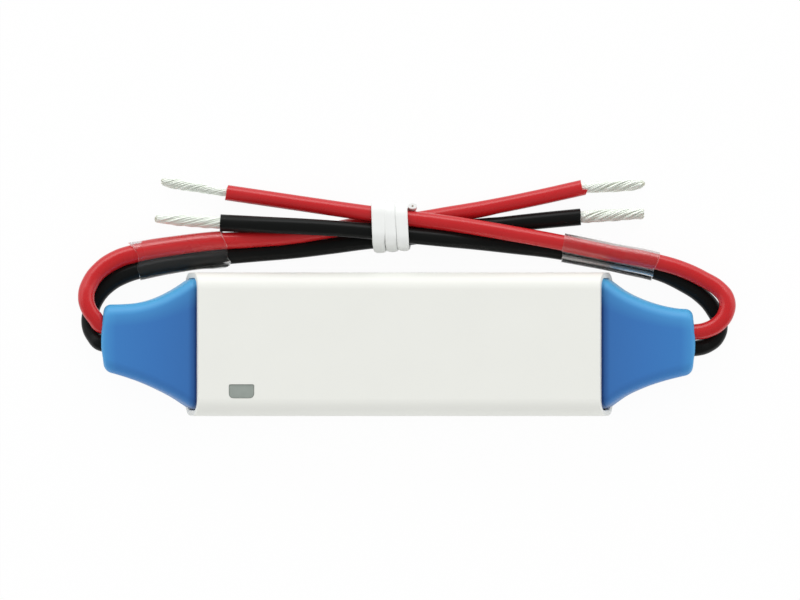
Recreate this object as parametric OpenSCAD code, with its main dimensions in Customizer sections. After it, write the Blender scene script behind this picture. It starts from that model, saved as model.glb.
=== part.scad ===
// In-line controller for LED strips: a slant-cut tube with a circuit board inside,
// two flared strain reliefs, and four leads bent back and held by a wound twist tie.

/* [Shell] */
// Length of the shell along its underside
shell_length = 66; // [65:0.1:67]
// Width of the shell
shell_width = 22; // [21.8:0.1:22.4]
// Height of the shell
shell_height = 7.7; // [7.6:0.1:8.2]
// Thickness of the shell's wall
shell_wall = 0.9; // [0.8:0.05:1]
// Outside corner radius of the shell's section
shell_corner = 2.6; // [2.3:0.1:2.8]
// How much shorter each end is at the top than at the underside
end_rake = 2.3; // [1.8:0.1:2.8]

/* [Status window] */
// Place of the window's middle along the shell
window_x = -24.1; // [-24.6:0.1:-23.5]
// Place of the window's middle across the shell
window_y = -7.2; // [-7.3:0.1:-6.9]
// Length of the window
window_length = 3.9; // [3:0.1:4]
// Width of the window
window_width = 2.15; // [1.8:0.05:2.3]
// How far the window lies below the top face
window_recess = 0.12; // [0:0.02:0.3]

/* [Strain reliefs] */
// Distance from the middle of the shell to the end of a strain relief
relief_reach = 45.5; // [45.4:0.1:45.6]
// Half the width of the left strain relief at its end
left_end_half = 5.2; // [5:0.1:5.6]
// How far the left strain relief's end is bent sideways
left_end_shift = 0.9; // [0.6:0.1:1.1]
// Half the width of the right strain relief at its end
right_end_half = 5; // [4.8:0.1:5.4]
// How far the right strain relief's end is bent sideways
right_end_shift = 0.35; // [0.1:0.05:0.6]
// Height of a strain relief at its end
relief_end_height = 4.9; // [4.7:0.1:5.2]
// Height of the middle of a strain relief's end above the table
relief_end_z = 4; // [3.9:0.05:4.1]
// How far a strain relief's plug goes into the shell, measured from the top edge
plug_depth = 3.8; // [3.4:0.1:4]

/* [Circuit board] */
// Length of the circuit board
board_length = 57.4; // [57:0.1:57.6]
// Width of the circuit board
board_width = 18.4; // [17.6:0.1:18.6]
// Thickness of the circuit board
board_thickness = 1; // [0.8:0.1:1]
// Height of the board's underside above the table
board_z = 1.3; // [1.2:0.05:1.3]

/* [Leads] */
// Diameter of a lead's insulation
lead_d = 2.4; // [2.2:0.05:2.4]
// Length of the stripped strands at a lead's free end
bare_length = 10; // [8:0.5:11]
// Diameter of the twisted strands
bare_d = 1.5; // [1.3:0.05:1.6]
// Turns of the twist along the stripped strands
strand_turns = 1.1; // [0.6:0.1:1.6]

/* [Sleeves] */
// Wall of a clear sleeve
sleeve_wall = 0.13; // [0.1:0.01:0.14]
// Slack between the left sleeve and its leads
left_sleeve_slack = 0.2; // [0.14:0.01:0.2]
// Slack between the right sleeve and its leads
right_sleeve_slack = 0.26; // [0.18:0.01:0.26]

/* [Twist tie] */
// Width of the tie's flat coat
tie_width = 1.8; // [1.6:0.05:1.8]
// Thickness of the tie's coat
tie_thickness = 0.8; // [0.7:0.05:0.8]
// Advance of the tie along the leads in one turn
tie_pitch = 1.82; // [1.82:0.02:1.9]
// Diameter of the tie's steel core
core_d = 0.5; // [0.4:0.05:0.5]

/* [Hidden] */
$fn = 48;
fit_gap = 0.02;
faces_per_ring = 8;

// Shell and its cavity
half_length = shell_length / 2;
cavity_width = shell_width - 2 * shell_wall;
cavity_height = shell_height - 2 * shell_wall;
cavity_corner = shell_corner - shell_wall;
rake_slope = end_rake / shell_height;
mouth_top = half_length - rake_slope * (shell_height - shell_wall);
mouth_middle = half_length - rake_slope * shell_height / 2;
mouth_bottom = half_length - rake_slope * shell_wall;

// Strain reliefs
plug_x = half_length - end_rake - plug_depth + 0.3;
plug_chamfer = 0.3;
relief_end_corner = 2.1;
relief_end_round = 0.85;
flare_rings = 10;
corner_steps = 5;
slot_depth = board_length / 2 - plug_x + 0.05;

// Circuit board and the parts on it
board_top = board_z + board_thickness;
led_height = 1.9;
joint_radius = 1.2;
joint_length = 2.2;
joint_sink = 0.15;
tail_d = 1.2;
tail_length = 4;
tail_tip_z = board_top + 0.62;

// Where each lead comes clear of its strain relief, and where its insulation ends over the
// board: a lead runs straight through the strain relief
exit_x = relief_reach + 0.15;
left_red_exit = [-exit_x, 2.9, 4.6];
left_black_exit = [-exit_x, 0.1, 3.6];
right_red_exit = [exit_x, 1.9, 4.7];
right_black_exit = [exit_x, -0.6, 3.6];
function inner_end(exit) = [sign(exit.x) * plug_x, exit.y, exit.z];
left_red_inner = inner_end(left_red_exit);
left_black_inner = inner_end(left_black_exit);
right_red_inner = inner_end(right_red_exit);
right_black_inner = inner_end(right_black_exit);

// Routes of the leads' middle lines from the strain relief's end to the end of the insulation
left_red_route = [
    [-46.6, 4.05, 5.05], [-47.6, 5.55, 5.05], [-47.97, 7.4, 4.5], [-47.4, 9.4, 3.6],
    [-45.9, 11.4, 2.8], [-43.7, 12.95, 2.2], [-40.8, 13.95, 1.9], [-35.0, 15.0, 1.9],
    [-29.0, 15.72, 2.2], [-22.9, 16.07, 2.5], [-16.5, 16.6, 2.5], [-11.0, 17.45, 2.3],
    [-4.5, 18.6, 2.15], [1.5, 19.0, 2.15], [7.8, 20.0, 1.6], [14.0, 21.05, 1.3],
    [21.0, 22.46, 1.25], [27.8, 23.98, 1.25]
];
left_black_route = [
    [-46.85, 1.2, 2.75], [-47.6, 2.95, 1.95], [-47.4, 4.95, 1.6], [-46.5, 7.2, 1.5],
    [-44.8, 9.1, 1.45], [-42.3, 10.55, 1.45], [-38.2, 11.72, 1.45], [-33.6, 12.55, 1.45],
    [-28.0, 13.35, 1.45], [-22.5, 13.85, 1.4], [-16.5, 14.35, 1.4], [-10.5, 15.05, 1.7],
    [-4.3, 15.85, 2.15], [1.5, 16.4, 2.15], [7.8, 17.38, 1.6], [14.0, 18.12, 1.3],
    [21.0, 18.9, 1.3], [27.8, 19.55, 1.35]
];
right_red_route = [
    [47.3, 2.25, 4.85], [48.95, 3.2, 4.8], [50.15, 4.9, 4.5], [50.25, 6.8, 4.0],
    [49.1, 8.45, 3.4], [46.8, 9.92, 3.15], [43.55, 11.45, 3.3], [39.8, 12.58, 3.6],
    [32.0, 14.15, 3.65], [24.0, 15.76, 3.6], [17.5, 16.93, 3.65], [11.0, 18.03, 4.1],
    [5.0, 18.87, 4.55], [1.0, 19.35, 4.6], [-4.5, 20.05, 4.4], [-11.5, 21.05, 3.2],
    [-18.5, 22.1, 1.9], [-26.55, 23.3, 1.25]
];
right_black_route = [
    [47.35, -0.1, 2.95], [48.8, 1.15, 2.3], [49.25, 3.1, 1.9], [48.25, 5.45, 1.6],
    [46.4, 7.5, 1.5], [43.7, 9.25, 1.45], [40.0, 10.95, 1.45], [34.5, 12.3, 1.45],
    [29.0, 13.4, 1.45], [23.5, 14.4, 1.4], [17.5, 15.1, 1.5], [12.0, 15.7, 2.6],
    [7.0, 16.15, 4.05], [1.5, 16.67, 4.6], [-4.5, 17.3, 4.7], [-12.0, 17.88, 4.9],
    [-20.0, 18.27, 4.4], [-27.4, 18.63, 2.4]
];

// Tips of the stripped strands
left_red_tip = [37.6, 24.6, 0.8];
left_black_tip = [37.5, 20.1, 0.8];
right_red_tip = [-36.4, 25.0, 0.8];
right_black_tip = [-37.6, 19.3, 0.8];

// Sleeves, from the end nearer the strain relief
left_sleeve_ends = [-40, -26.3];
right_sleeve_ends = [39.2, 25.3];
sleeve_rings = 6;
sleeve_seat = 0.1;

// Twist tie: place of its first turn's top, stops round each lead, the number of the last stop
// of its three turns, and the length and outward lean of the end that is cut off
tie_top_x = -3.25;
tie_clearance = 0.08;
tie_radius = lead_d / 2 + tie_clearance + tie_thickness / 2;
arc_stops = 5;
tie_last_stop = 3 * 4 * arc_stops;
tie_tail = 0.9;
tie_tail_lean = 0.4;
tie_bend_start = 0.22;
tie_bend_end = 0.95;

// Vectors and paths
function unit(v) = v / norm(v);
function mix(a, b, t) = a + (b - a) * t;
function heading(path, i) =
    i == 0 ? unit(path[1] - path[0])
    : i == len(path) - 1 ? unit(path[i] - path[i - 1])
    : unit(unit(path[i] - path[i - 1]) + unit(path[i + 1] - path[i]));
function level_side(along) = unit(cross([0, 0, 1], along));
function upper_side(along) = cross(along, level_side(along));

// The point of a route at a given place along the shell
function at_x(route, x) =
    [for (i = [0:len(route) - 2])
        let (a = route[i], b = route[i + 1])
        if (min(a.x, b.x) <= x && x <= max(a.x, b.x)) mix(a, b, (x - a.x) / (b.x - a.x))][0];

// A skin over rings that each have the same number of points, closed at both ends
module skin(rings) {
    n = len(rings[0]);
    last = len(rings) - 1;
    polyhedron(
        points = [for (ring = rings) each ring],
        faces = concat(
            [[for (k = [0:n - 1]) k]],
            [for (i = [0:last - 1], k = [0:n - 1])
                let (a = i * n + k, b = i * n + (k + 1) % n)
                each [[a, a + n, b + n], [a, b + n, b]]],
            [[for (k = [n - 1:-1:0]) last * n + k]]
        )
    );
}

// A pipe between outer and inner rings, open at both ends
module pipe(outer, inner) {
    n = len(outer[0]);
    last = len(outer) - 1;
    inside = len(outer) * n;
    polyhedron(
        points = concat([for (ring = outer) each ring], [for (ring = inner) each ring]),
        faces = concat(
            [for (i = [0:last - 1], k = [0:n - 1])
                let (a = i * n + k, b = i * n + (k + 1) % n)
                each [[a, a + n, b + n], [a, b + n, b],
                      [inside + a, inside + b + n, inside + a + n],
                      [inside + a, inside + b, inside + b + n]]],
            [for (k = [0:n - 1])
                let (a = k, b = (k + 1) % n, far = last * n)
                each [[a, b, inside + b], [a, inside + b, inside + a],
                      [far + a, inside + far + b, far + b],
                      [far + a, inside + far + a, inside + far + b]]]
        )
    );
}

// Rounded rectangle made of squares and circles, so that its corners are true arcs
module rounded_outline(width, height, low_corner, high_corner) {
    translate([-width / 2, low_corner]) square([width, height - low_corner - high_corner]);
    translate([low_corner - width / 2, 0]) square([width - 2 * low_corner, low_corner]);
    translate([high_corner - width / 2, height - high_corner])
        square([width - 2 * high_corner, high_corner]);
    for (side = [-1, 1]) {
        translate([side * (width / 2 - low_corner), low_corner]) circle(low_corner);
        translate([side * (width / 2 - high_corner), height - high_corner]) circle(high_corner);
    }
}

// A bar along the shell with a rounded rectangular section
module section_bar(length, width, height, corner)
    rotate([90, 0, 90])
        linear_extrude(height = length, center = true)
            rounded_outline(width, height, corner, corner);

// A straight round rod between two points
module rod(from, to, d) {
    run = to - from;
    translate(from)
        rotate([0, acos(run.z / norm(run)), atan2(run.y, run.x)])
            cylinder(h = norm(run), d = d);
}

module window_prism(bottom, top, gap)
    translate([window_x, window_y - window_width / 2 + gap, bottom])
        linear_extrude(height = top - bottom)
            rounded_outline(window_length - 2 * gap, window_width - 2 * gap, 0.7 - gap, 0.25 - gap);

module shell() {
    color([0.92, 0.92, 0.89])
        intersection() {
            difference() {
                section_bar(shell_length, shell_width, shell_height, shell_corner);
                translate([0, 0, shell_wall])
                    section_bar(shell_length + 2, cavity_width, cavity_height, cavity_corner);
                window_prism(shell_height - shell_wall - 1, shell_height + 1, 0);
            }
            rotate([90, 0, 0])
                linear_extrude(height = shell_width + 2, center = true)
                    polygon([
                        [-half_length, 0], [half_length, 0],
                        [half_length - end_rake, shell_height],
                        [end_rake - half_length, shell_height]
                    ]);
        }
}

module indicator_window() {
    color([0.6, 0.63, 0.61])
        window_prism(board_top + led_height, shell_height - window_recess, fit_gap);
}

// A rounded rectangular ring across the strain relief
function relief_ring(x, side, z, half_width, half_height, corner) =
    [for (quarter = [0:3], step = [0:corner_steps])
        let (
            angle = 90 * (quarter + step / corner_steps),
            right = quarter == 0 || quarter == 3 ? 1 : -1,
            up = quarter < 2 ? 1 : -1
        )
        [x,
         side + right * (half_width - corner) + corner * cos(angle),
         z + up * (half_height - corner) + corner * sin(angle)]];

// One section of the flare: the sides and faces curve in from where the mouth ends
function eased(x, start) = x <= start ? 0 : 1 - pow(1 - (x - start) / (relief_reach - start), 2);
function flare_ring(x, end_half, end_shift, inset) =
    let (
        half_width = mix(cavity_width / 2 - fit_gap, end_half, eased(x, mouth_middle)),
        top = mix(shell_height - shell_wall - fit_gap,
                  relief_end_z + relief_end_height / 2, eased(x, mouth_top)),
        bottom = mix(shell_wall + fit_gap,
                     relief_end_z - relief_end_height / 2, eased(x, mouth_bottom)),
        along = max(0, (x - mouth_middle) / (relief_reach - mouth_middle)),
        corner = mix(cavity_corner - fit_gap, relief_end_corner, along)
    )
    relief_ring(x, end_shift * pow(along, 2.2), (top + bottom) / 2,
                half_width - inset, (top - bottom) / 2 - inset, corner - inset);

// A strain relief pointing along +X: a plug in the shell's mouth, then the flare
module strain_relief(end_half, end_shift, red_line, black_line) {
    flare_end = relief_reach - relief_end_round;
    rings = concat(
        [flare_ring(plug_x, end_half, end_shift, plug_chamfer),
         flare_ring(plug_x + plug_chamfer, end_half, end_shift, 0),
         flare_ring(mouth_top, end_half, end_shift, 0),
         flare_ring((mouth_top + mouth_middle) / 2, end_half, end_shift, 0)],
        [for (i = [0:flare_rings])
            flare_ring(mix(mouth_middle, flare_end, i / flare_rings), end_half, end_shift, 0)],
        [for (angle = [30, 60, 90])
            flare_ring(flare_end + relief_end_round * sin(angle), end_half, end_shift,
                       relief_end_round * (1 - cos(angle)))]
    );
    color([0.25, 0.47, 0.73])
        difference() {
            skin(rings);
            for (line = [red_line, black_line])
                rod(line[0] - (line[1] - line[0]) * 0.1, line[1] + (line[1] - line[0]) * 0.1,
                    lead_d + 2 * fit_gap);
            translate([plug_x - 1, -board_width / 2 - fit_gap, board_z - fit_gap])
                cube([slot_depth + 1, board_width + 2 * fit_gap, board_thickness + 2 * fit_gap]);
        }
}

function mirrored(p) = [-p.x, p.y, p.z];

module left_strain_relief()
    mirror([1, 0, 0])
        strain_relief(left_end_half, left_end_shift,
                      [mirrored(left_red_inner), mirrored(left_red_exit)],
                      [mirrored(left_black_inner), mirrored(left_black_exit)]);

module right_strain_relief()
    strain_relief(right_end_half, right_end_shift,
                  [right_red_inner, right_red_exit], [right_black_inner, right_black_exit]);

module circuit_board() {
    corner = 0.5;
    color([0.1, 0.38, 0.22])
        translate([0, -board_width / 2, board_z])
            linear_extrude(height = board_thickness)
                rounded_outline(board_length, board_width, corner, corner);
}

// A block that stands on the board, centred on the given place
module on_board(place, size, lift = 0)
    translate([place.x - size.x / 2, place.y - size.y / 2, board_top + lift]) cube(size);

module status_led() {
    color([0.95, 0.93, 0.8]) {
        on_board([window_x, window_y], [3.2, 2.8, led_height]);
        for (side = [-1, 1])
            on_board([window_x + side * 1.7, window_y], [0.2, 2, 0.9]);
    }
}

module microcontroller() {
    place = [-8, 3.5];
    body = [4.9, 3.9, 1.45];
    pin_gap = 1.27;
    color([0.14, 0.14, 0.15]) {
        on_board(place, body, 0.1);
        for (side = [-1, 1], pin = [-1.5:1.5]) {
            on_board(place + [pin * pin_gap, side * 2.7], [0.4, 0.6, 0.2]);
            on_board(place + [pin * pin_gap, side * 2.35], [0.4, 0.2, 0.9]);
            on_board(place + [pin * pin_gap, side * 2.1], [0.4, 0.5, 0.2], 0.7);
        }
    }
}

module power_transistor() {
    place = [11, 0];
    color([0.16, 0.16, 0.17]) {
        on_board(place, [6.1, 6.6, 2.3]);
        on_board(place + [3.6, 0], [1.2, 5.3, 0.5]);
        for (side = [-1, 1]) {
            on_board(place + [-4.3, side * 2.3], [1.3, 0.8, 0.5]);
            on_board(place + [-3.45, side * 2.3], [0.9, 0.8, 1.2]);
        }
    }
}

module voltage_regulator() {
    place = [-16.5, -2.5];
    color([0.17, 0.17, 0.18]) {
        on_board(place, [4.5, 2.5, 1.5]);
        on_board(place + [0, 1.5], [1.7, 0.6, 0.4]);
        for (pin = [-1, 0, 1])
            on_board(place + [pin * 1.5, -1.65], [0.45, 0.9, 0.4]);
    }
}

module storage_capacitor() {
    place = [1, -5];
    color([0.8, 0.62, 0.2]) {
        on_board(place, [6.9, 4.3, 2.7], 0.1);
        for (side = [-1, 1])
            on_board(place + [side * 3.2, 0], [0.9, 2.4, 1.3]);
    }
}

module protection_diode() {
    place = [19, 5.5];
    color([0.12, 0.12, 0.13]) {
        on_board(place, [4.5, 3.6, 2.2]);
        for (side = [-1, 1])
            on_board(place + [side * 2.5, 0], [0.6, 2.1, 1]);
    }
}

// Chip parts: a body between two end caps that are a little larger
module chip(place, length, width, height) {
    on_board(place, [length - 0.5, width - 0.1, height - 0.05]);
    for (side = [-1, 1])
        on_board(place + [side * (length / 2 - 0.2), 0], [0.4, width, height]);
}

module chip_capacitors() {
    places = [[-17, 4], [-12.5, -6], [-3, 6.5], [6, 6.5], [19, -5]];
    color([0.72, 0.6, 0.45])
        for (place = places) chip(place, 2, 1.25, 1.1);
}

module chip_resistors() {
    places = [[-20.5, 3.5], [-20.5, 6.5], [-12, 6.5], [-8, -2], [-8, -4.5], [16, -8], [12, 7]];
    color([0.2, 0.2, 0.22])
        for (place = places) chip(place, 2, 1.25, 0.5);
}

// The bare conductor on the board, which starts in the plane of the insulation's end,
// and the mound of solder over it
function tail_tip(inner) =
    [inner.x - sign(inner.x) * tail_length, inner.y, tail_tip_z];

module soldered_end(inner, exit) {
    color([0.8, 0.79, 0.74])
        skin([round_ring(inner, unit(inner - exit), tail_d, 12),
              round_ring(tail_tip(inner), unit(tail_tip(inner) - inner), tail_d, 12)]);
}

module solder_mound(inner) {
    middle = inner.x - sign(inner.x) * (tail_length - joint_length / 2);
    difference() {
        translate([middle, inner.y, board_top - joint_sink]) {
            rotate([0, 90, 0]) cylinder(h = joint_length, r = joint_radius, center = true);
            for (side = [-1, 1])
                translate([side * joint_length / 2, 0, 0]) sphere(joint_radius);
        }
        translate([middle - 2 * joint_length, inner.y - 2, board_top - 2])
            cube([4 * joint_length, 4, 2]);
        rod(inner, tail_tip(inner), tail_d);
    }
}

module solder_joints() {
    color([0.75, 0.76, 0.77])
        for (inner = [left_red_inner, left_black_inner, right_red_inner, right_black_inner])
            solder_mound(inner);
}

// Leads: a round tube along its route, straight until it has left the strain relief
function round_ring(middle, along, d, sides) =
    [for (k = [0:sides - 1])
        middle + d / 2 * (cos(360 * k / sides) * level_side(along)
                          + sin(360 * k / sides) * upper_side(along))];

module lead(inner, exit, route, insulation) {
    path = concat([inner, exit], route);
    color(insulation)
        skin([for (i = [0:len(path) - 1])
            round_ring(path[i], i == 1 ? heading(path, 0) : heading(path, i),
                       lead_d, faces_per_ring)]);
}

red = [0.78, 0.16, 0.18];
black = [0.11, 0.11, 0.11];
module left_red_lead() lead(left_red_inner, left_red_exit, left_red_route, red);
module left_black_lead() lead(left_black_inner, left_black_exit, left_black_route, black);
module right_red_lead() lead(right_red_inner, right_red_exit, right_red_route, red);
module right_black_lead() lead(right_black_inner, right_black_exit, right_black_route, black);

module left_red_soldered_end() soldered_end(left_red_inner, left_red_exit);
module left_black_soldered_end() soldered_end(left_black_inner, left_black_exit);
module right_red_soldered_end() soldered_end(right_red_inner, right_red_exit);
module right_black_soldered_end() soldered_end(right_black_inner, right_black_exit);

// Stripped strands: a bundle with six lobes that winds round its own middle line
function strand_ring(middle, along, r, turn) =
    let (lobes = 6, points = 24)
    [for (k = [0:points - 1])
        let (angle = 360 * k / points,
             bulge = 0.8 + 0.2 * abs(cos(lobes / 2 * (angle - turn))))
        middle + r * bulge * (cos(angle) * level_side(along) + sin(angle) * upper_side(along))];

module bare_end(route, tip, tip_share) {
    rings = 14;
    last = len(route) - 1;
    from = route[last];
    along = unit(tip - from);
    color([0.82, 0.81, 0.76])
        skin([for (i = [0:rings])
            let (t = i / rings, taper = 1 - (1 - tip_share) * pow(t, 6))
            strand_ring(from + along * bare_length * t, i == 0 ? heading(route, last) : along,
                        bare_d / 2 * taper, 360 * strand_turns * t)]);
}

module left_red_bare_end() bare_end(left_red_route, left_red_tip, 0.35);
module left_black_bare_end() bare_end(left_black_route, left_black_tip, 0.8);
module right_red_bare_end() bare_end(right_red_route, right_red_tip, 0.5);
module right_black_bare_end() bare_end(right_black_route, right_black_tip, 0.7);

// Sleeves: a ring round the two leads of a pair, half a circle round each, in which the leads
// lie low
function pair_ring(first, second, along, r) =
    let (
        steps = 8,
        middle = (first + second) / 2,
        side = unit((first - second) - along * ((first - second) * along)),
        half = (first - middle) * side,
        up = cross(along, side)
    )
    [for (half_turn = [0, 1], k = [0:steps])
        let (angle = 180 * half_turn - 90 + 180 * k / steps,
             end = half_turn == 0 ? 1 : -1)
        middle + side * (end * half + r * cos(angle)) + up * (r * sin(angle))];

module clear_sleeve(red_route, black_route, ends, slack) {
    lift = [0, 0, slack - sleeve_seat];
    xs = [for (i = [0:sleeve_rings]) mix(ends[0], ends[1], i / sleeve_rings)];
    middles = [for (x = xs) (at_x(red_route, x) + at_x(black_route, x)) / 2];
    function rings(r) =
        [for (i = [0:sleeve_rings])
            pair_ring(at_x(red_route, xs[i]) + lift, at_x(black_route, xs[i]) + lift,
                      heading(middles, i), r)];
    color([0.85, 0.87, 0.88, 0.35])
        pipe(rings(lead_d / 2 + slack + sleeve_wall), rings(lead_d / 2 + slack));
}

module left_clear_sleeve()
    clear_sleeve(left_red_route, left_black_route, left_sleeve_ends, left_sleeve_slack);

module right_clear_sleeve()
    clear_sleeve(right_red_route, right_black_route, right_sleeve_ends, right_sleeve_slack);

// Twist tie. It goes round the four leads, which stand as a leaning square in its section:
// the places of their middles across and above, in the order in which the tie passes them.
function bundle(x) =
    [for (route = [right_red_route, right_black_route, left_black_route, left_red_route])
        let (p = at_x(route, x)) [p.y, p.z]];

// Direction that points away from the bundle, square to the run from one lead to the next
function outward_angle(from, to) = atan2(to.y - from.y, to.x - from.x) - 90;

// How far a turn of the tie has come along the leads: it lies square to them over the top and
// comes forward underneath
function tie_advance(done) =
    let (t = max(0, min(1, (done - tie_bend_start) / (tie_bend_end - tie_bend_start))))
    t * t * (3 - 2 * t);

// One stop of the tie: its middle and its outward direction. Each turn has four arcs, one
// round each lead, with a straight run after each, and every arc and run is 1/8 of a turn.
function tie_stop(stop) =
    let (
        turn = floor(stop / (4 * arc_stops)),
        place = stop - turn * 4 * arc_stops,
        lead_number = floor(place / arc_stops),
        along_arc = (place % arc_stops) / (arc_stops - 1),
        x = tie_top_x + tie_pitch * (turn + tie_advance((2 * lead_number + along_arc) / 8)),
        leads = bundle(x),
        here = leads[lead_number],
        start = outward_angle(leads[(lead_number + 3) % 4], here),
        swing = (outward_angle(here, leads[(lead_number + 1) % 4]) - start + 720) % 360,
        angle = start + swing * along_arc,
        outward = [0, cos(angle), sin(angle)]
    )
    [[x, here.x, here.y] + tie_radius * outward, outward];

function tie_stops() =
    let (
        wound = [for (stop = [-1:tie_last_stop]) tie_stop(stop)],
        last = wound[len(wound) - 1],
        onward = unit(cross([1, 0, 0], last[1]) + tie_tail_lean * last[1])
    )
    concat(wound, [[last[0] + tie_tail * onward, last[1]]]);

// A flat oval across the tie, with its long side along the leads
function squared(v) = sign(v) * pow(abs(v), 0.75);
function oval_ring(stop, width, thickness, points) =
    [for (k = [0:points - 1])
        let (angle = 360 * k / points)
        stop[0] + [width / 2 * squared(cos(angle)), 0, 0]
                + thickness / 2 * squared(sin(angle)) * stop[1]];

function core_ring(stop, d) =
    [for (k = [0:5]) stop[0] + d / 2 * (cos(60 * k) * [1, 0, 0] + sin(60 * k) * stop[1])];

// The same stops with one more past each end, for the hollow that holds the core
function run_through(stops) =
    let (last = len(stops) - 1, first_step = unit(stops[1][0] - stops[0][0]),
         last_step = unit(stops[last][0] - stops[last - 1][0]))
    concat([[stops[0][0] - 0.1 * first_step, stops[0][1]]], stops,
           [[stops[last][0] + 0.1 * last_step, stops[last][1]]]);

module twist_tie() {
    stops = tie_stops();
    color([0.93, 0.94, 0.93])
        difference() {
            skin([for (stop = stops) oval_ring(stop, tie_width, tie_thickness, 12)]);
            skin([for (stop = run_through(stops)) core_ring(stop, core_d + 2 * fit_gap)]);
        }
}

module tie_core() {
    color([0.45, 0.45, 0.46])
        skin([for (stop = tie_stops()) core_ring(stop, core_d)]);
}

shell();
indicator_window();
left_strain_relief();
right_strain_relief();
circuit_board();
status_led();
microcontroller();
power_transistor();
voltage_regulator();
storage_capacitor();
protection_diode();
chip_capacitors();
chip_resistors();
solder_joints();
left_red_lead();
left_black_lead();
right_red_lead();
right_black_lead();
left_red_soldered_end();
left_black_soldered_end();
right_red_soldered_end();
right_black_soldered_end();
left_red_bare_end();
left_black_bare_end();
right_red_bare_end();
right_black_bare_end();
left_clear_sleeve();
right_clear_sleeve();
twist_tie();
tie_core();
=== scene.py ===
# %% [markdown]
# # An in-line LED controller on a white table
#
# The object is a small white tube with a circuit board inside. A soft blue strain relief flares
# out of each end, and a red and a black lead leave each of them. The leads are bent back and
# tied together, and their stripped ends stick out past the tie. The solid model gives every
# place and size here. This script gives the surfaces: it models each visible piece again with
# smooth forms, and gives every piece a material.

# %% Load the solid model
import math

import bmesh
import bpy
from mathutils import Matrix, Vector


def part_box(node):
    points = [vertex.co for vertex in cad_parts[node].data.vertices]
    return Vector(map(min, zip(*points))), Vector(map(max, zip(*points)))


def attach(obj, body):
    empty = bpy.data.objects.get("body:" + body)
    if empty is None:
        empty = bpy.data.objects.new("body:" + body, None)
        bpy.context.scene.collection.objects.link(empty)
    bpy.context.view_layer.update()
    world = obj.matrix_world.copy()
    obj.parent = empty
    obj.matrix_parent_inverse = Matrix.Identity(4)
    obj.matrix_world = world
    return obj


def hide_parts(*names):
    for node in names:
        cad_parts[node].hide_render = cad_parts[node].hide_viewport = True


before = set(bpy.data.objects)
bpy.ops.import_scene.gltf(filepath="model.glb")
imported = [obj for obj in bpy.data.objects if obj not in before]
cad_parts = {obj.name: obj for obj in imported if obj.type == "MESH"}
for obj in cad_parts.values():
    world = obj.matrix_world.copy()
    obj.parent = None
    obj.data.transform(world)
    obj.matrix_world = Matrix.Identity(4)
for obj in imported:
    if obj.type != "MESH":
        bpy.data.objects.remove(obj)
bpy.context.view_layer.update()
MM = 0.001

# %% [markdown]
# ## The camera
#
# The photograph looks straight down from far away, so that almost no side of the tube shows.
# A long lens from one metre does the same. The lens follows from the width of the table that
# the picture shows at the height of the tube's middle.

# %% Look straight down through a long lens
view_width = 122.7 * MM
view_middle = Vector((0.14, 6.78, 4.0)) * MM
camera_distance = 1.0


def in_scene(name, data):
    """Puts an object with the given data into the scene."""
    thing = bpy.data.objects.new(name, data)
    bpy.context.scene.collection.objects.link(thing)
    return thing


lens = bpy.data.cameras.new("camera")
lens.sensor_width = 36
lens.lens = lens.sensor_width * camera_distance / view_width
camera = in_scene("camera", lens)
camera.location = view_middle + Vector((0, 0, camera_distance))
bpy.context.scene.camera = camera
print("lens", round(lens.lens, 1), "mm")

# %% [markdown]
# ## The leads' routes
#
# Each lead is 0.75 square millimetre hook-up wire: stranded copper in soft insulation, 2.4 mm
# across. It starts on the board, runs straight through its strain relief, turns back in a limp
# loop beside the tube and goes under the twist tie. The points are those of the solid model,
# in millimetres here and scaled to metres when they are used. A Bezier curve with automatic
# handles goes through all of them, and its own sampling gives the smooth line that every tube,
# strand and sleeve below follows.

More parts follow.
